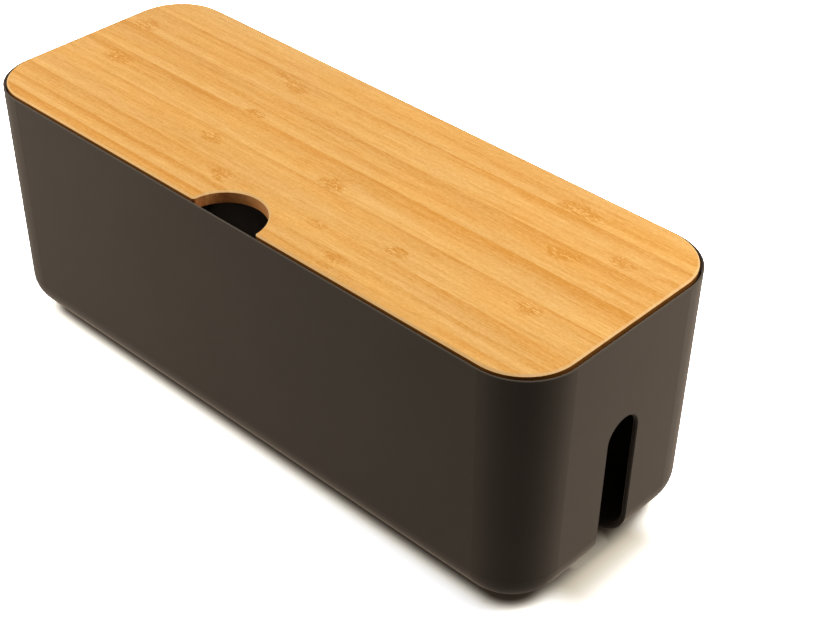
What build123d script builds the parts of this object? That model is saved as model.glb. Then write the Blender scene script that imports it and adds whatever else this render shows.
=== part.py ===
from build123d import *
import os
from math import tan, radians

os.makedirs("parts", exist_ok=True)

# Cable management box: a moulded tub with a cable slot in each end, a bamboo lid
# laid in its rim, and four rubber feet.
# Millimetres and degrees. The box stands on Z = 0 with its centre on the origin,
# its long side along X and the lid's finger notch towards -Y.

# ---- Overall ---------------------------------------------------------------
rim_length = 295.0  # outside of the tub at its rim, along X
rim_width = 109.0  # outside of the tub at its rim, along Y
overall_height = 114.0  # from the table to the lid's top face
foot_height = 6.0  # gap between the table and the underside of the tub

# ---- Tub -------------------------------------------------------------------
wall = 2.0  # thickness of the four side walls
floor_thickness = 2.0
rim_corner_radius = 23.5  # upright corners, seen from above, at the rim
bottom_radius = 14.0  # rolled edge between walls and floor, outside
draft_angle = 1.0  # lean of the walls, so that the tub leaves its mould
lip = 0.8  # thin upstand of the rim around the lid
lip_bevel = 0.25  # breaks both edges of the lip

# ---- Cable slots, one in each end wall --------------------------------------
slot_width = 16.4
slot_top = 72.2  # crown of the arch above the table
slot_reach = 13.0  # how far the slot runs in from the rim's end plane, into the floor
slot_bevel = 0.45  # breaks the slot's edges, inside and outside

# ---- Lid -------------------------------------------------------------------
lid_thickness = 5.5
lid_proud = 1.3  # how far the lid's face stands above the rim
lid_side_clearance = 0.6  # between the lid and the lip, along the long sides
lid_end_clearance = 1.1  # between the lid and the lip, at the two ends
lid_corner_radius = 22.0
lid_bevel = 0.7  # breaks the lid's top edge
lid_underside_bevel = 0.4
notch_radius = 16.5  # half-round finger notch in the front edge
notch_mouth_radius = 1.5
strip_width = 16.85  # sawn width of the bamboo strips in the glued board
narrowest_strip = 4.0  # anything thinner than this is not glued on

# ---- Upright ribs on the inside of the walls, which the lid rests on ---------
rib_thickness = 2.4
rib_depth = 4.0
side_ribs = 4  # on each long wall
side_rib_pitch = 62.0
end_ribs = 2  # on each end wall, one on each side of the cable slot
end_rib_pitch = 52.0

# ---- Feet ------------------------------------------------------------------
foot_diameter = 16.0
foot_recess = 0.5  # depth of the locating recess in the floor
foot_clearance = 0.2  # radial, in that recess
foot_border = 5.0  # floor left between a foot and the rolled edge
foot_bevel = 1.0

# ---- Vent slots in the floor -------------------------------------------------
vent_width = 3.0
vent_pitch = 13.0
vent_border = 3.0  # floor left between a vent and the rolled edge or a foot
vent_bridge = 9.0  # bar of floor between the two rows

# ---- Places worked out from the sizes above -----------------------------------
rim_top = overall_height - lid_proud
ledge = overall_height - lid_thickness  # seat of the lid
underside = foot_height
floor_top = underside + floor_thickness
lean = tan(radians(draft_angle))
flat_length = rim_length - 2 * ((rim_top - underside) * lean + bottom_radius)
flat_width = rim_width - 2 * ((rim_top - underside) * lean + bottom_radius)
lid_length = rim_length - 2 * (lip + lid_end_clearance)
lid_width = rim_width - 2 * (lip + lid_side_clearance)
slot_inner_end = rim_length / 2 - slot_reach
foot_x = flat_length / 2 - foot_border - foot_diameter / 2
foot_y = flat_width / 2 - foot_border - foot_diameter / 2
past = 1.0  # how far a cutting shape runs past the face that it opens
near = 0.01  # two places closer than this count as one

# ---- Tub -------------------------------------------------------------------
# The shape that fills the mould's outer half: leaning walls and a rolled lower edge.
with BuildPart() as outside:
    with BuildSketch(Plane.XY.offset(rim_top)):
        RectangleRounded(rim_length, rim_width, rim_corner_radius)
    extrude(amount=underside - rim_top, taper=draft_angle)
    fillet(outside.faces().sort_by(Axis.Z)[0].edges(), bottom_radius)

# The core of the mould, which leaves the hollow. The grooves cut in it become the ribs,
# and its wider head leaves the rebate that the lid lies in.
with BuildPart() as core:
    with BuildSketch(Plane.XY.offset(rim_top)):
        RectangleRounded(rim_length - 2 * wall, rim_width - 2 * wall, rim_corner_radius - wall)
    extrude(amount=floor_top - rim_top, taper=draft_angle)
    fillet(core.faces().sort_by(Axis.Z)[0].edges(), bottom_radius - wall)
    with BuildSketch(Plane.XY.offset(ledge)):
        with GridLocations(side_rib_pitch, rim_width - 2 * wall, side_ribs, 2):
            Rectangle(rib_thickness, 2 * rib_depth)
        with GridLocations(rim_length - 2 * wall, end_rib_pitch, 2, end_ribs):
            Rectangle(2 * rib_depth, rib_thickness)
    extrude(amount=floor_top - ledge, taper=-draft_angle, mode=Mode.SUBTRACT)
    with BuildSketch(Plane.XY.offset(ledge)):
        RectangleRounded(rim_length - 2 * lip, rim_width - 2 * lip, rim_corner_radius - lip)
    extrude(amount=rim_top + past - ledge)

with BuildPart() as tub:
    add(outside.part)
    add(core.part, mode=Mode.SUBTRACT)
    # both edges of the lip
    chamfer(tub.faces().sort_by(Axis.Z)[-1].edges(), lip_bevel)
    # inverted-U cable slots, open at the bottom, cut through the end walls,
    # the rolled edge and the end of the floor
    for end in (1, -1):
        with BuildSketch(Plane.YZ.offset(end * slot_inner_end)):
            with Locations((0, slot_top - slot_width / 2)):
                Circle(slot_width / 2)
                Rectangle(slot_width, slot_top, align=(Align.CENTER, Align.MAX))
        extrude(amount=end * (slot_reach + past), mode=Mode.SUBTRACT)
    slot_rims = tub.edges().filter_by(
        lambda e: abs(e.center().X) > slot_inner_end - near
        and abs(e.center().Y) < slot_width / 2 + near
        and e.center().Z < slot_top + wall
        and e.length > 2 * wall
    )
    chamfer(slot_rims, slot_bevel)
    # recesses that locate the feet
    with BuildSketch(Plane.XY.offset(underside)):
        with GridLocations(2 * foot_x, 2 * foot_y, 2, 2):
            Circle(foot_diameter / 2 + foot_clearance)
    extrude(amount=foot_recess, mode=Mode.SUBTRACT)
    # two rows of vents between the feet
    vent_field = 2 * foot_x - foot_diameter - 2 * foot_clearance - 2 * vent_border
    vent_columns = int((vent_field - vent_width) // vent_pitch) + 1
    vent_length = (flat_width - vent_bridge - 2 * vent_border) / 2
    with BuildSketch(Plane.XY.offset(underside)):
        with GridLocations(vent_pitch, vent_length + vent_bridge, vent_columns, 2):
            Rectangle(vent_width, vent_length)
    extrude(amount=floor_thickness, mode=Mode.SUBTRACT)

tub.part.label = "tub"
export_step(tub.part, "parts/tub.step")

# ---- Feet ------------------------------------------------------------------
foot_places = [(-foot_x, -foot_y), (foot_x, -foot_y), (foot_x, foot_y), (-foot_x, foot_y)]
for number, place in enumerate(foot_places, start=1):
    with BuildPart() as foot:
        with BuildSketch(Plane.XY.offset(underside + foot_recess)):
            with Locations(place):
                Circle(foot_diameter / 2)
        extrude(amount=-foot_height - foot_recess)
        chamfer(foot.faces().sort_by(Axis.Z)[0].edges(), foot_bevel)
    foot.part.label = f"foot_{number}"
    export_step(foot.part, f"parts/foot_{number}.step")

# ---- Lid -------------------------------------------------------------------
# The glued board, sawn to its outline and its edges broken. It is then split along its glue lines.
with BuildPart() as board:
    with BuildSketch(Plane.XY.offset(ledge)) as outline:
        RectangleRounded(lid_length, lid_width, lid_corner_radius)
        with Locations((0, -lid_width / 2)):
            Circle(notch_radius, mode=Mode.SUBTRACT)
        mouth = outline.vertices().filter_by(lambda v: abs(abs(v.X) - notch_radius) < near)
        fillet(mouth, notch_mouth_radius)
    extrude(amount=lid_thickness)
    chamfer(board.faces().sort_by(Axis.Z)[-1].edges(), lid_bevel)
    chamfer(board.faces().sort_by(Axis.Z)[0].edges(), lid_underside_bevel)

# Full strips are glued up from the back edge. What is left over makes the front strip.
full_strips = int((lid_width - narrowest_strip) // strip_width)
for number in range(1, full_strips + 1):
    back_seam = Plane(origin=(0, lid_width / 2 - (number - 1) * strip_width, 0), z_dir=(0, 1, 0))
    front_seam = back_seam.offset(-strip_width)
    with BuildPart() as strip:
        add(board.part)
        split(bisect_by=back_seam, keep=Keep.BOTTOM)
        split(bisect_by=front_seam, keep=Keep.TOP)
    strip.part.label = f"lid_strip_{number}"
    export_step(strip.part, f"parts/lid_strip_{number}.step")

# The notch cuts the front strip in two.
last_seam = Plane(origin=(0, lid_width / 2 - full_strips * strip_width, 0), z_dir=(0, 1, 0))
for side, kept in (("left", Keep.BOTTOM), ("right", Keep.TOP)):
    with BuildPart() as front:
        add(board.part)
        split(bisect_by=last_seam, keep=Keep.BOTTOM)
        split(bisect_by=Plane.YZ, keep=kept)
    front.part.label = f"lid_front_{side}"
    export_step(front.part, f"parts/lid_front_{side}.step")

print("lid", round(lid_length, 1), "x", round(lid_width, 1), "strips", full_strips)
print("flat floor", round(flat_length, 1), "x", round(flat_width, 1))
print("feet at", round(foot_x, 2), round(foot_y, 2), "vents", vent_columns, "x 2,", round(vent_length, 1))
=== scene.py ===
# %% [markdown]
# # A cable management box
# The box is a moulded tub with a thin rim, a bamboo lid laid in that rim, and four rubber
# feet. The packed model gives every piece its shape and place, in metres, standing on
# Z = 0 with its long side along X and the lid's finger notch towards -Y. This file gives
# each piece its finish, and sets up the table, the light and the camera.

# %% Load the packed model
import bpy
import math
from mathutils import Euler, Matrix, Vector


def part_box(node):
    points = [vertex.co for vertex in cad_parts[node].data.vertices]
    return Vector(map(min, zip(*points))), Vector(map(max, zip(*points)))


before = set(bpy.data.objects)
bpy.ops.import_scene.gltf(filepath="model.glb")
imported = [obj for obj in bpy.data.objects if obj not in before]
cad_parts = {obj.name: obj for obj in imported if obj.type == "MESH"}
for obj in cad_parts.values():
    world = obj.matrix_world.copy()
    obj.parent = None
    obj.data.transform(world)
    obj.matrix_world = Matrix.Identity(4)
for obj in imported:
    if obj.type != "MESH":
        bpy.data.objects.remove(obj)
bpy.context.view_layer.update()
MM = 0.001
print("pieces:", sorted(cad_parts))

# %% [markdown]
# ## The camera
# A product like this is best shown from above one corner, so that the lid, one long
# side and one end are seen at once. A camera can be turned with three angles, but "stand
# here, look at that point, lean a little" is easier to read, and Blender can turn a line
# of sight into a rotation. The lens is long, which keeps the long edges nearly parallel.

# %% Stand the camera above the near corner
EYE = Vector((408.88, -391.52, 464.22)) * MM
AIM = Vector((41.58, 6.13, 57.00)) * MM
LEAN = math.radians(0.906)
LENS = 75.215
SENSOR = 36.0

camera_data = bpy.data.cameras.new("camera")
camera_data.lens = LENS
camera_data.sensor_width = SENSOR
camera_data.clip_start = 0.01
camera = bpy.data.objects.new("camera", camera_data)
bpy.context.scene.collection.objects.link(camera)
sight = (AIM - EYE).to_track_quat("-Z", "Y")
camera.location = EYE
camera.rotation_euler = (sight.to_matrix() @ Euler((0, 0, LEAN)).to_matrix()).to_euler()
bpy.context.scene.camera = camera
print("camera to aim, in metres:", round((AIM - EYE).length, 3))

# %% [markdown]
# ## Mixing a finish
# Every finish here is made of shader nodes, so it has no picture files and stays sharp at
# any distance. Wiring nodes by hand in Python is wordy, so a small class keeps the wiring
# in one place. It is built up over three cells. The first adds nodes and joins them.

# %% Add and join nodes
class Wiring:
    """A material whose nodes are added one by one."""

    def __init__(self, name):
        self.material = bpy.data.materials.new(name)
        self.material.use_nodes = True
        self.tree = self.material.node_tree
        self.tree.nodes.clear()
        self.output = self.tree.nodes.new("ShaderNodeOutputMaterial")

    def add(self, kind, inputs=(), **settings):
        """A new node. inputs go to its sockets, and settings are set on the node."""
        node = self.tree.nodes.new(kind)
        for name, value in settings.items():
            setattr(node, name, value)
        for name, value in dict(inputs).items():
            self.feed(node.inputs[name], value)
        return node

    def feed(self, socket, value):
        """Join a socket to another node's output, or give it a plain value."""
        if isinstance(value, bpy.types.NodeSocket):
            self.tree.links.new(value, socket)
        else:
            socket.default_value = value


print("nodes are added and joined by:", Wiring.add.__name__, Wiring.feed.__name__)

# %% [markdown]
# ## Sums
# The second cell adds sums. Each method adds a node and hands back its output, so that a
# finish reads like arithmetic. The smooth step is used most: it leads gently from one
# value to another, and a shade on a real thing nearly always begins and ends gently.

# %% Do sums with nodes
class Sums(Wiring):
    def math(self, operation, a, b=0.0, clamp=False):
        node = self.add("ShaderNodeMath", {0: a, 1: b}, operation=operation, use_clamp=clamp)
        return node.outputs[0]

    def total(self, *values):
        result = values[0]
        for value in values[1:]:
            result = self.math("ADD", result, value)
        return result

    def product(self, *values):
        result = values[0]
        for value in values[1:]:
            result = self.math("MULTIPLY", result, value)
        return result

    def steps(self, value, low, high, to_low=0.0, to_high=1.0):
        """A smooth step: to_low where value is low, to_high where it is high."""
        sockets = {
            "Value": value,
            "From Min": low,
            "From Max": high,
            "To Min": to_low,
            "To Max": to_high,
        }
        node = self.add("ShaderNodeMapRange", sockets, interpolation_type="SMOOTHSTEP")
        return node.outputs["Result"]

    def split(self, vector):
        return self.add("ShaderNodeSeparateXYZ", {0: vector}).outputs

    def join(self, x, y, z):
        return self.add("ShaderNodeCombineXYZ", {0: x, 1: y, 2: z}).outputs[0]


print("sums:", [name for name in vars(Sums) if not name.startswith("_")])

# %% [markdown]
# ## Noise, colours and relief
# The third cell adds what makes it a finish: the place on the piece, soft noise, mixed
# colours, a fine relief, and the shader that covers the piece. The relief only bends the
# light. That is right for textures far finer than a millimetre. Larger shapes are in the
# solids themselves.

# %% Complete the finish
class Finish(Sums):
    def place(self):
        """The point on the piece, in metres, in the box's own frame."""
        return self.add("ShaderNodeTexCoord").outputs["Object"]

    def noise(self, where, scale, detail=2.0, distortion=0.0):
        """Soft noise around zero, from about -0.5 to 0.5."""
        sockets = {"Vector": where, "Scale": scale, "Detail": detail, "Distortion": distortion}
        node = self.add("ShaderNodeTexNoise", sockets)
        return self.math("SUBTRACT", node.outputs["Fac"], 0.5)

    def mix(self, factor, a, b, how="MIX"):
        node = self.add("ShaderNodeMix", data_type="RGBA", blend_type=how)
        for socket, value in ((0, factor), (6, a), (7, b)):
            self.feed(node.inputs[socket], value)
        return node.outputs[2]

    def bump(self, height, depth, normal=None):
        """Relief of the given depth, in metres, where height goes from 0 to 1."""
        sockets = {"Height": height, "Strength": 1.0, "Distance": depth}
        if normal is not None:
            sockets["Normal"] = normal
        return self.add("ShaderNodeBump", sockets).outputs[0]

    def surface(self, **inputs):
        """The shader that covers the piece. Input names have _ for each space."""
        shader = self.add("ShaderNodeBsdfPrincipled")
        for name, value in inputs.items():
            self.feed(shader.inputs[name.replace("_", " ")], value)
        self.feed(self.output.inputs["Surface"], shader.outputs[0])
        return self.material


def dress(node, material):
    """Give a piece of the packed model its finish."""
    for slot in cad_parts[node].material_slots:
        slot.material = material
    print(node, "wears", material.name)


print("finishes:", [name for name in vars(Finish) if not name.startswith("_")])

# %% [markdown]
# ## The table
# The box stands on a plain pale table in an evenly lit room. A large plane is the table.
# It isn't a piece of the box.

# %% Lay the table
TABLE_SIDE = 6.0

bpy.ops.mesh.primitive_plane_add(size=TABLE_SIDE, location=(0, 0, 0))
table = bpy.context.object
table.name = "table"
print("table, in metres:", TABLE_SIDE, "square")

# %% [markdown]
# ## How far from the box
# A real studio shot gets its pure white background by overexposing it, which would also
# bleach the box. Here the colour of the table's paint is raised instead. Raising it
# everywhere would wash out one thing: the dark line where the box nearly touches the
# table, without which it seems to float. So the colour is raised in steps that follow the
# outline of the tub, a rectangle with rounded corners. The first thing to know is how far
# outside that outline a place on the table lies.

# %% Measure outwards from the tub
CORNER_RADIUS = 23.5 * MM
HALF_LENGTH, HALF_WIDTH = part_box("tub")[1][:2]


def distance_from_outline(finish, x, y):
    """How far a place on the table lies outside the outline of the tub. Inside, it is
    below zero, down to the corner's radius."""
    squares = []
    for value, half in ((x, HALF_LENGTH), (y, HALF_WIDTH)):
        past = finish.math("SUBTRACT", finish.math("ABSOLUTE", value), half - CORNER_RADIUS)
        squares.append(finish.math("POWER", finish.math("MAXIMUM", past, 0.0), 2.0))
    to_middle_of_arc = finish.math("SQRT", finish.total(*squares))
    return finish.math("SUBTRACT", to_middle_of_arc, CORNER_RADIUS)


print("outline of the tub, in metres:", round(2 * HALF_LENGTH, 4), "by", round(2 * HALF_WIDTH, 4))

# %% [markdown]
# ## The shade round the box
# This shade is painted into what the camera sees of the table, by distance from the
# outline, on top of the shadow that the lamps cast. Far in under the box the painted shade
# stays dark. Along the two long sides its colour rises quickly. Along the two ends it
# rises slowly, with a painted brown tinge, because the end walls lean over the table and
# shade it, and a painted patch of light lies where a cable slot lets some light in under
# the box. The three colours rise one after the other, red first, a painted warmth at the
# edge of the shade like light that comes off the brown plastic.

# %% Shade the table near the box
# What the camera sees of the paint, in red, green and blue, where 1 is white paint.
SEEN_DEEP_UNDER = (0.17, 0.13, 0.095)
SEEN_UNDER_END = (0.98, 0.88, 0.70)
SEEN_IN_THE_OPEN = 3.0
# Where these hold, measured outwards from the outline of the tub.
DARK_AT_SIDE, CLEAR_AT_SIDE = -13.2 * MM, (-5.8 * MM, -5.5 * MM, -4.9 * MM)
DARK_AT_END, DIM_AT_END = -14.0 * MM, -4.0 * MM
DIM_FROM, CLEAR_FROM = -6.0 * MM, 24.0 * MM
# Where the shade of the end and the light of the slot start, and where they are full,
# measured from the middle line of the box.
END_STARTS, END_FULL = HALF_WIDTH - 12.0 * MM, HALF_WIDTH - 37.0 * MM
SLOT_STARTS, SLOT_FULL = 14.0 * MM, 9.0 * MM
LIT_UNDER_SLOT = 0.62  # how far from deep shade to the shade along the end


# Painted shade and painted light on the table near the box, by distance from the tub's outline.
def painted_shade_near_box(finish, outside, off_middle):
    """What the camera sees of the table's red, green and blue near the box."""
    at_end = finish.steps(off_middle, END_STARTS, END_FULL)
    by_slot = finish.steps(off_middle, SLOT_STARTS, SLOT_FULL, 0.0, LIT_UNDER_SLOT)
    out_from_end = finish.math("MAXIMUM", finish.steps(outside, DARK_AT_END, DIM_AT_END), by_slot)
    shades = []
    for deep, dim, clear_at in zip(SEEN_DEEP_UNDER, SEEN_UNDER_END, CLEAR_AT_SIDE):
        by_side = finish.steps(outside, DARK_AT_SIDE, clear_at, deep, SEEN_IN_THE_OPEN)
        by_end = finish.total(
            deep,
            finish.product(out_from_end, dim - deep),
            finish.steps(outside, DIM_FROM, CLEAR_FROM, 0.0, SEEN_IN_THE_OPEN - dim),
        )
        change = finish.product(at_end, finish.math("SUBTRACT", by_end, by_side))
        shades.append(finish.math("ADD", by_side, change))
    return shades


print("past an end, the table is clear of shade from", CLEAR_FROM, "m on")

# %% [markdown]
# ## The table's paint
# The raised colour is only for what the camera sees. A glossy or clear surface mirrors
# white paint, and the light that the table throws back at the box stays that of ordinary
# pale grey paint, so the shadow of the box stays on it. Light Path tells these kinds of
# ray apart. Far from the lamps the table would turn grey, so there the colour is raised
# further. From below, the table is clear, so that the feet and the vents can be looked at.

# %% Paint the table
TABLE_PAINT = 0.40
TABLE_MIRRORED = 1.0
ROUND_ABOUT, ROUND_ABOUT_AT = 1.7, 0.1  # how much more, and how far off, in metres
FAR_OFF, FAR_OFF_FROM, FAR_OFF_AT = 10.0, 0.4, 2.4


def table_paint():
    finish = Finish("table_paint")
    path = finish.add("ShaderNodeLightPath").outputs
    mirrored = finish.math("MAXIMUM", path["Is Glossy Ray"], path["Is Transmission Ray"])
    x, y, z = finish.split(finish.place())
    outside = distance_from_outline(finish, x, y)
    raised = finish.product(
        finish.steps(outside, 0.0, ROUND_ABOUT_AT, 1.0, ROUND_ABOUT),
        finish.steps(outside, FAR_OFF_FROM, FAR_OFF_AT, 1.0, FAR_OFF),
    )
    channels = []
    for shade in painted_shade_near_box(finish, outside, finish.math("ABSOLUTE", y)):
        seen = finish.product(shade, raised)
        channels.append(finish.total(
            TABLE_PAINT,
            finish.product(mirrored, TABLE_MIRRORED - TABLE_PAINT),
            finish.product(path["Is Camera Ray"], finish.math("SUBTRACT", seen, TABLE_PAINT)),
        ))
    paint = finish.add("ShaderNodeBsdfDiffuse", {"Color": finish.join(*channels)}).outputs[0]
    clear = finish.add("ShaderNodeBsdfTransparent").outputs[0]
    from_below = finish.add("ShaderNodeNewGeometry").outputs["Backfacing"]
    either = finish.add("ShaderNodeMixShader", {0: from_below, 1: paint, 2: clear}).outputs[0]
    finish.feed(finish.output.inputs["Surface"], either)
    return finish.material


table.data.materials.append(table_paint())
print(table.name, "wears", table.data.materials[0].name)

# %% [markdown]
# ## The room
# The rest of the room gives a weak, even light from all sides, which only keeps the
# shadows from going black. Seen by the camera, or mirrored in something, it is white.
# Light Path again tells the two apart.

# %% Light the room evenly
ROOM_LIGHT = 0.088
WHITE = (1.0, 1.0, 1.0, 1.0)

world = bpy.data.worlds.new("room")
bpy.context.scene.world = world
world.use_nodes = True
room_nodes = world.node_tree.nodes
room_links = world.node_tree.links
room_nodes.clear()
room_output = room_nodes.new("ShaderNodeOutputWorld")
room_back = room_nodes.new("ShaderNodeBackground")
room_back.inputs["Color"].default_value = WHITE
room_path = room_nodes.new("ShaderNodeLightPath")
room_strength = room_nodes.new("ShaderNodeMapRange")
room_strength.inputs["To Min"].default_value = ROOM_LIGHT
room_strength.inputs["To Max"].default_value = 1.0
seen = room_path.outputs["Is Camera Ray"]
for ray in ("Is Glossy Ray", "Is Transmission Ray"):
    either = room_nodes.new("ShaderNodeMath")
    either.operation = "MAXIMUM"
    room_links.new(seen, either.inputs[0])
    room_links.new(room_path.outputs[ray], either.inputs[1])
    seen = either.outputs[0]
room_links.new(seen, room_strength.inputs["Value"])
room_links.new(room_strength.outputs["Result"], room_back.inputs["Strength"])
room_links.new(room_back.outputs[0], room_output.inputs["Surface"])
print("strength of the room's light:", ROOM_LIGHT)

# %% [markdown]
# ## The lamps
# Three soft panels light the box, as in a maker's small studio. A large one hangs above
# and a little behind, and lights the lid. Two smaller ones stand close by at half height,
# one past each end of the diagonal that faces the camera. Each rakes along one wall, so
# the long side and the end are lit while the rounded corner between them stays dark, and
# that is what makes the corner read as round. Panels are chosen because small lamps
# would draw hard shadows.

# %% Hang the panels
BOX_MIDDLE = Vector((0.0, 0.0, 0.06))


def panel(name, place, size, power):
    """A soft panel at place, in metres, that faces the box."""
    data = bpy.data.lights.new(name, "AREA")
    data.shape = "RECTANGLE"
    data.size, data.size_y = size
    data.energy = power
    lamp = bpy.data.objects.new(name, data)
    lamp.location = place
    to_box = BOX_MIDDLE - Vector(place)
    lamp.rotation_euler = to_box.to_track_quat("-Z", "Y").to_euler()
    bpy.context.scene.collection.objects.link(lamp)
    print(name, "stands", round(to_box.length, 2), "m from the box, at", power, "W")


panel("panel_above", (0.22, 0.23, 1.30), (1.2, 1.0), 7.3)
panel("panel_right", (0.36, 0.37, 0.36), (0.35, 0.3), 2.4)
panel("panel_left", (-0.46, -0.36, 0.36), (0.45, 0.4), 2.95)

# %% [markdown]
# ## The tub's plastic
# The tub is moulded in dark taupe-brown plastic with a fine matte texture, which the
# mould leaves on it. Such a texture has no clear reflection, but it catches light that
# grazes it, so walls look paler the more they turn away from the eye. Turning the mirror
# reflection up would make that grey. A sheen layer in the plastic's own hue keeps it
# brown, as on the real thing, over a fine bump. The colour wanders a little, as it does
# in moulded plastic. The thin rim has a painted highlight: its top is coloured paler,
# for the light that catches it.

# %% Mould the tub
PLASTIC = (0.052, 0.0393, 0.0285, 1.0)
PLASTIC_PALER = (0.058, 0.0440, 0.0320, 1.0)
PLASTIC_SHEEN = (1.0, 0.77, 0.57, 1.0)
# Painted highlight: the rim's top is coloured paler, for the light that catches it.
PLASTIC_RIM_HIGHLIGHT = (0.098, 0.081, 0.062, 1.0)
CLOUDS = 25.0  # repeats per metre of the wandering colour
CLOUD_RANGE = (-0.3, 0.3)
RIM_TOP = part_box("tub")[1][2]
# Heights where the painted highlight on the rim's top begins and is full.
RIM_HIGHLIGHT_FROM, RIM_HIGHLIGHT_FULL = RIM_TOP - 0.35 * MM, RIM_TOP - 0.15 * MM
TEXTURE_GRAIN = 1 / (0.6 * MM)
TEXTURE_DEPTH = 0.012 * MM


def tub_plastic():
    finish = Finish("tub_plastic_finish")
    where = finish.place()
    cloud = finish.steps(finish.noise(where, CLOUDS, detail=3.0), *CLOUD_RANGE)
    texture = finish.noise(where, TEXTURE_GRAIN, detail=1.0)
    height = finish.split(where)[2]
    # Where the painted highlight on the rim's top lies.
    rim_highlight = finish.steps(height, RIM_HIGHLIGHT_FROM, RIM_HIGHLIGHT_FULL)
    colour = finish.mix(rim_highlight, finish.mix(cloud, PLASTIC, PLASTIC_PALER), PLASTIC_RIM_HIGHLIGHT)
    return finish.surface(
        Base_Color=colour,
        Roughness=0.55,
        Specular_IOR_Level=0.03,
        Sheen_Weight=0.43,
        Sheen_Roughness=0.4,
        Sheen_Tint=PLASTIC_SHEEN,
        Normal=finish.bump(finish.math("ADD", texture, 0.5), TEXTURE_DEPTH),
    )


dress("tub", tub_plastic())

# %% [markdown]
# ## The lid's bamboo: fibres
# The lid is a board glued up from flat strips of bamboo, each its own piece of culm, as
# the cane of bamboo is called. Picture textures could show its grain, but layers of
# stretched noise do it without a picture and fit each strip. The grain is worked out
# first as one number, the paleness of the wood at each place, and turned into a colour
# at the end.
#
# Long fine fibres run the whole length of a strip. Noise that is squeezed hard across
# the grain and little along it turns into streaks. Four layers of it, from broad streaks
# to flecks, make fibres of every size.

# %% Draw the fibres
# For each layer: repeats per metre along and across the grain, detail, and strength.
FIBRES = {
    "long": (6.0, 150.0, 2.0, 0.75),
    "middle": (24.0, 620.0, 3.0, 0.80),
    "fine": (110.0, 1500.0, 2.0, 0.90),
    "fleck": (650.0, 1300.0, 2.0, 0.80),
}


def streaks(finish, place, along, across, **settings):
    """Noise that is drawn out along X, with its repeats per metre along and across."""
    repeats = (along, across, across)
    squeezed = [finish.product(value, times) for value, times in zip(place, repeats)]
    return finish.noise(finish.join(*squeezed), 1.0, **settings)


def draw_fibres(finish, place):
    """Each layer of fibres as noise around zero, and their total by strength."""
    layers = {}
    by_strength = []
    for layer, (along, across, detail, strength) in FIBRES.items():
        layers[layer] = streaks(finish, place, along, across, detail=detail)
        by_strength.append(finish.product(layers[layer], strength))
    return layers, finish.total(*by_strength)


print("layers of fibres:", list(FIBRES))

# %% [markdown]
# ## The lid's bamboo: dark bands
# A strip is darker where its fibres lie closer, which is mostly along its back edge. So
# each strip has a dark band that starts sharply at its back seam and fades towards the
# front, and some have another, fainter one. Slow noise along the strip lets the bands
# come and go, as they do in real cane, where no fibre keeps quite straight.

# %% Add the dark bands
BAND_STARTS = (-0.15 * MM, 0.2 * MM)
BAND_CHANGES = 14.0  # repeats per metre of the slow noise
BAND_CHANGE = 1.6
APART = 1.7  # keeps the noise of one strip apart from the next


def band(finish, y, back, fade, depth):
    """One band. back is its back edge, fade its breadth, and depth how dark it is."""
    behind = finish.math("SUBTRACT", back, y)
    sharp = finish.steps(behind, *BAND_STARTS)
    soft = finish.steps(behind, fade, 0.0)
    return finish.product(sharp, soft, -depth)


def dark_bands(finish, number, x, y, bands):
    """How far the bands of a strip darken it. They are given in millimetres."""
    depths = [band(finish, y, back * MM, fade * MM, depth) for back, fade, depth in bands]
    along = finish.join(finish.product(x, BAND_CHANGES), number * APART, 0.0)
    slow = finish.noise(along, 1.0, detail=1.0)
    come_and_go = finish.math("ADD", finish.product(slow, BAND_CHANGE), 1.0)
    return finish.product(finish.total(*depths), come_and_go)


print("a band starts over", round((BAND_STARTS[1] - BAND_STARTS[0]) / MM, 2), "mm")

# %% [markdown]
# ## The lid's bamboo: knuckles
# Where the culm had a joint, or knuckle, the strip shows a short patch of crossed, wavy
# fibres. A patch is an ellipse with a ragged edge. Inside it, noise that is stretched
# less than the fibres are, and then distorted, gives short dashes that cross the grain.

# %% Add the knuckles
RAGGED_EDGE = (140.0, 420.0)  # repeats per metre along and across the grain
RAGGEDNESS = 1.4
PATCH_STARTS, PATCH_FULL = 1.0, 0.1  # squared distance from the middle, 1 on the ellipse
DASHES = (330.0, 1100.0)  # repeats per metre along and across the grain
DASH_BEND = 1.8
DASH_CONTRAST, DASH_DARKNESS = 3.4, 0.28


def knuckle(finish, place, middle, length, breadth, strength):
    """How far the fibres of one knuckle lighten or darken the strip at each place."""
    parts = [finish.product(streaks(finish, place, *RAGGED_EDGE, detail=2.0), RAGGEDNESS)]
    for value, centre, size in zip(place, middle, (length, breadth)):
        from_centre = finish.math("DIVIDE", finish.math("SUBTRACT", value, centre), size / 2)
        parts.append(finish.math("POWER", from_centre, 2.0))
    inside = finish.steps(finish.total(*parts), PATCH_STARTS, PATCH_FULL)
    wave = streaks(finish, place, *DASHES, detail=2.0, distortion=DASH_BEND)
    dashes = finish.math("SUBTRACT", finish.product(wave, DASH_CONTRAST), DASH_DARKNESS)
    return finish.product(inside, dashes, strength)


print("dashes in a knuckle lie about", round(1 / DASHES[1] / MM, 2), "mm apart")

# %% [markdown]
# ## The lid's bamboo: the face
# The paleness now becomes a colour between a deep and a pale honey. Bamboo isn't one hue
# either: some fibres are warmer and some cooler. So a slow noise of its own, which has
# nothing to do with the paleness, tints the face.

# %% Colour the face
BAMBOO_DEEP = (0.675, 0.277, 0.029, 1.0)
BAMBOO_PALE = (0.91, 0.516, 0.156, 1.0)
TINT_WARM = (1.02, 0.99, 0.88, 1.0)
TINT_COOL = (0.99, 1.01, 1.09, 1.0)
TINTS = (20.0, 90.0)  # repeats per metre along and across the grain
TINT_RANGE = (-0.25, 0.25)


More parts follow.
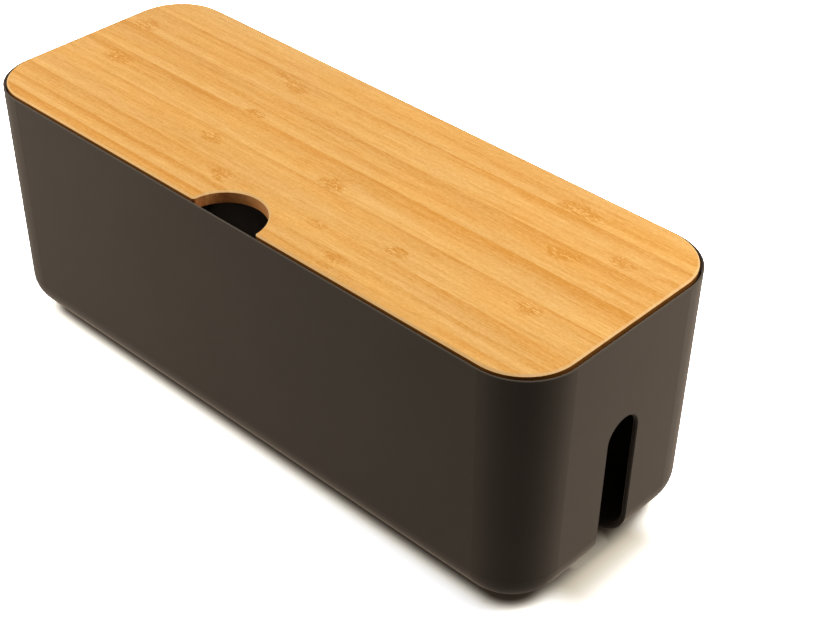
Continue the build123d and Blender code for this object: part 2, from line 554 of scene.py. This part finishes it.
def face_colour(finish, place, paleness):
    face = finish.mix(paleness, BAMBOO_DEEP, BAMBOO_PALE)
    hue = finish.steps(streaks(finish, place, *TINTS, detail=2.0), *TINT_RANGE)
    return finish.mix(1.0, face, finish.mix(hue, TINT_WARM, TINT_COOL), "MULTIPLY")


print("the face goes from", BAMBOO_DEEP[:3], "to", BAMBOO_PALE[:3])

# %% [markdown]
# ## The lid's bamboo: the sides
# The lid's outer sides are sawn. Their colour is painted darker than the wood, as painted
# shade for the narrow gap between the lid and the rim. The wall of the finger notch is
# routed, and keeps a lighter colour, nearer the wood's own. Both follow the paleness of
# the strip, so that its bands run on down the side. A place belongs to a side if it faces
# sideways, and to the notch if it also lies near it.

# %% Colour the sides
# Painted shade: the outer sides are coloured darker than the wood, for the gap between lid and
# rim.
SIDE_SHADED_DEEP = (0.19, 0.062, 0.006, 1.0)
SIDE_SHADED_PALE = (0.26, 0.092, 0.010, 1.0)
NOTCH_DEEP = (0.40, 0.125, 0.030, 1.0)
NOTCH_PALE = (0.68, 0.300, 0.090, 1.0)
NOTCH_REACH = 21.0 * MM  # no wall of the notch lies further than this from its middle
NOTCH_BLEND = 2.0 * MM
LID_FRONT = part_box("lid_front_left")[0][1]
NOTCH_FROM, NOTCH_FULL = LID_FRONT + 0.2 * MM, LID_FRONT + 0.8 * MM
NOTCH_BACK = LID_FRONT + NOTCH_REACH


def side_colour(finish, place, paleness):
    x, y, z = place
    in_notch = finish.product(
        finish.steps(finish.math("ABSOLUTE", x), NOTCH_REACH, NOTCH_REACH - NOTCH_BLEND),
        finish.steps(y, NOTCH_FROM, NOTCH_FULL),
        finish.steps(y, NOTCH_BACK, NOTCH_BACK - NOTCH_BLEND),
    )
    # The outer sides carry painted shade.
    outer = finish.mix(paleness, SIDE_SHADED_DEEP, SIDE_SHADED_PALE)
    notch = finish.mix(paleness, NOTCH_DEEP, NOTCH_PALE)
    return finish.mix(in_notch, outer, notch)


print("front edge of the lid, in metres:", round(LID_FRONT, 4))

# %% [markdown]
# ## The lid's bamboo: the sanded edge
# The sanded top edge of the lid is in truth a small round, and the solid has a flat bevel
# there. So the normal of the bevel is turned upwards, to catch the light as a round
# would. The way that a place faces tells the bevel from the face and from the sides.

# %% Round the edge
EDGE_FROM, EDGE_TO = (0.50, 0.65), (0.97, 0.85)  # how far up the edge faces
EDGE_TURN = 2.0  # how far its normal is turned up


def sanded_edge(finish, facing, upward):
    """How far a place belongs to the edge, and the normal with the edge rounded."""
    edge = finish.product(finish.steps(upward, *EDGE_FROM), finish.steps(upward, *EDGE_TO))
    turn = finish.join(0.0, 0.0, finish.product(edge, EDGE_TURN))
    turned = finish.add("ShaderNodeVectorMath", {0: facing, 1: turn}).outputs[0]
    rounded = finish.add("ShaderNodeVectorMath", {0: turned}, operation="NORMALIZE").outputs[0]
    return edge, rounded


print("the edge's normal is turned up by", EDGE_TURN)

# %% [markdown]
# ## The lid's bamboo: the grain of one strip
# The grain of a strip adds up its tone, its shading from back to front, its bands, its
# fibres and its knuckles. Each strip takes its fibres from another place in the noise, so
# that no two strips have the same grain.

# %% Add up the grain
STRIP_BACK, STRIP_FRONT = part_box("lid_strip_2")[1][1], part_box("lid_strip_2")[0][1]
STRIP_WIDTH = STRIP_BACK - STRIP_FRONT


def grain(finish, number, back, place, own_place, tone, lift, bands, knuckles):
    """The paleness of one strip, and its layers of fibres. back is its back edge, tone
    its paleness from 0 to 1, and lift how much paler its front is than its back."""
    x, y, z = own_place
    across = finish.math("DIVIDE", finish.math("SUBTRACT", back, y), STRIP_WIDTH)
    shade = finish.product(finish.math("SUBTRACT", across, 0.5), lift)
    layers, fibres = draw_fibres(finish, own_place)
    paleness = finish.total(tone, shade, dark_bands(finish, number, x, y, bands), fibres)
    for *middle, length, breadth, strength in knuckles:
        middle = [value * MM for value in middle]
        dashes = knuckle(finish, place, middle, length * MM, breadth * MM, strength)
        paleness = finish.math("ADD", paleness, dashes)
    return finish.math("ADD", paleness, 0.0, clamp=True), layers


print("width of a full strip, in metres:", round(STRIP_WIDTH, 5))

# %% [markdown]
# ## The lid's bamboo: one strip
# A strip's finish puts the grain and the colours together, with a painted highlight on the
# sanded edge: a pale tint for the light that it catches. The fibres also stand up a little
# from the wood between them, which breaks up the gloss of the satin lacquer.

# %% Mix one strip
# Painted highlight: the sanded edge is tinted paler, for the light that it catches.
BAMBOO_EDGE_HIGHLIGHT = (1.00, 0.66, 0.30, 1.0)
EDGE_HIGHLIGHT_SHARE = 0.50
SIDE_FROM, SIDE_FULL = 0.55, 0.25  # how far up or down a side still faces
FIBRE_DEPTH = 0.02 * MM
NEXT_GRAIN = 0.37  # how far off each strip takes its grain from the last, in metres


def bamboo(number, back, **looks):
    """The finish of one strip, from its number, its back edge and how its grain looks."""
    finish = Finish(f"bamboo_{number}")
    x, y, z = finish.split(finish.place())
    place, own_place = (x, y, z), (finish.math("ADD", x, number * NEXT_GRAIN), y, z)
    paleness, layers = grain(finish, number, back, place, own_place, **looks)
    facing = finish.add("ShaderNodeNewGeometry").outputs["Normal"]
    upward = finish.split(facing)[2]
    edge, rounded = sanded_edge(finish, facing, upward)
    face = face_colour(finish, own_place, paleness)
    # The painted highlight on the sanded edge.
    face = finish.mix(finish.product(edge, EDGE_HIGHLIGHT_SHARE), face, BAMBOO_EDGE_HIGHLIGHT)
    side = finish.steps(finish.math("ABSOLUTE", upward), SIDE_FROM, SIDE_FULL)
    relief = finish.total(layers["middle"], layers["fine"], 0.5)
    return finish.surface(
        Base_Color=finish.mix(side, face, side_colour(finish, place, paleness)),
        Roughness=0.46,
        Specular_IOR_Level=0.31,
        Normal=finish.bump(relief, FIBRE_DEPTH, rounded),
    )


print("depth of the fibres' relief, in metres:", FIBRE_DEPTH)

# %% [markdown]
# ## Six full strips and a narrow front one
# The seams come from the pieces themselves: each strip's own box says where its back edge
# is. The rest is what a maker sees when sorting strips, and is written as a list.
# For each strip it gives the tone, how it shades from back to front, its dark bands, and
# its knuckles. The finger notch cuts the front strip in two.

# %% Lay the strips
# A band has its back edge, the breadth of its fade and its depth. A knuckle has its
# middle along X and along Y, its length, its breadth and its strength. Millimetres.
STRIPS = {
    "lid_strip_1": dict(
        tone=0.56, lift=0.00,
        bands=[(42.5, 5, 0.12)],
        knuckles=[(91, 39.5, 24, 11, 1.6)],
    ),
    "lid_strip_2": dict(
        tone=0.52, lift=0.10,
        bands=[(36.2, 6, 0.18), (26, 4, 0.08)],
        knuckles=[
            (-134, 22, 16, 12, 1.5), (-49, 30, 15, 8, 1.4),
            (-60, 33, 12, 4, 0.9), (123, 24, 13, 9, 1.1),
        ],
    ),
    "lid_strip_3": dict(
        tone=0.51, lift=0.16,
        bands=[(19.4, 8, 0.22), (10, 5, 0.10)],
        knuckles=[(103, 14, 16, 9, 1.6), (109, 16.5, 5, 3, 1.6), (-45, 4.5, 13, 6, 1.7)],
    ),
    "lid_strip_4": dict(
        tone=0.56, lift=0.26,
        bands=[(2.5, 9, 0.34), (-5, 3, 0.10)],
        knuckles=[(-121, -4, 18, 10, 2.0), (-106, -5.5, 26, 2, 0.8), (13, -11, 15, 10, 1.9)],
    ),
    "lid_strip_5": dict(
        tone=0.57, lift=0.05,
        bands=[(-14.3, 6, 0.26)],
        knuckles=[(-44, -20, 14, 8, 1.9), (116, -19, 13, 9, 1.7), (61, -26, 13, 7, 1.5)],
    ),
    "lid_strip_6": dict(
        tone=0.58, lift=0.00,
        bands=[(-31.2, 6, 0.30), (-40.5, 6, 0.26)],
        knuckles=[
            (28, -33, 11, 7, 0.8), (-22, -34, 14, 7, 1.7),
            (-20, -38, 8, 4, 1.2), (48, -44, 12, 8, 1.1),
        ],
    ),
    "lid_front_left": dict(
        tone=0.46, lift=0.20,
        bands=[(-48, 4, 0.22)],
        knuckles=[],
    ),
    "lid_front_right": dict(
        tone=0.52, lift=0.20,
        bands=[(-48, 4, 0.16)],
        knuckles=[(48, -49, 10, 4, 0.7)],
    ),
}

for number, (node, looks) in enumerate(STRIPS.items()):
    back_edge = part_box(node)[1][1]
    dress(node, bamboo(number, back_edge, **looks))

# %% [markdown]
# ## The feet
# Each foot is a small stuck-on disc of soft rubber. Rubber is dark and dull, with hardly
# any gloss, so the finish is a rough dark grey with a trace of dust in fine noise.

# %% Stick on the feet
RUBBER = (0.018, 0.018, 0.018, 1.0)
RUBBER_DUSTY = (0.035, 0.034, 0.032, 1.0)
DUST = 900.0  # repeats per metre
DUST_RANGE = (-0.2, 0.3)


def foot_rubber():
    finish = Finish("foot_rubber_finish")
    dust = finish.steps(finish.noise(finish.place(), DUST, detail=3.0), *DUST_RANGE)
    colour = finish.mix(dust, RUBBER, RUBBER_DUSTY)
    return finish.surface(Base_Color=colour, Roughness=0.82, Specular_IOR_Level=0.3)


rubber = foot_rubber()
for number in range(1, 5):
    dress(f"foot_{number}", rubber)

# %% [markdown]
# ## How the colours are shown
# The colours are shown as they are, with no film look on top.

# %% Show the colours as they are
bpy.context.scene.view_settings.view_transform = "Standard"
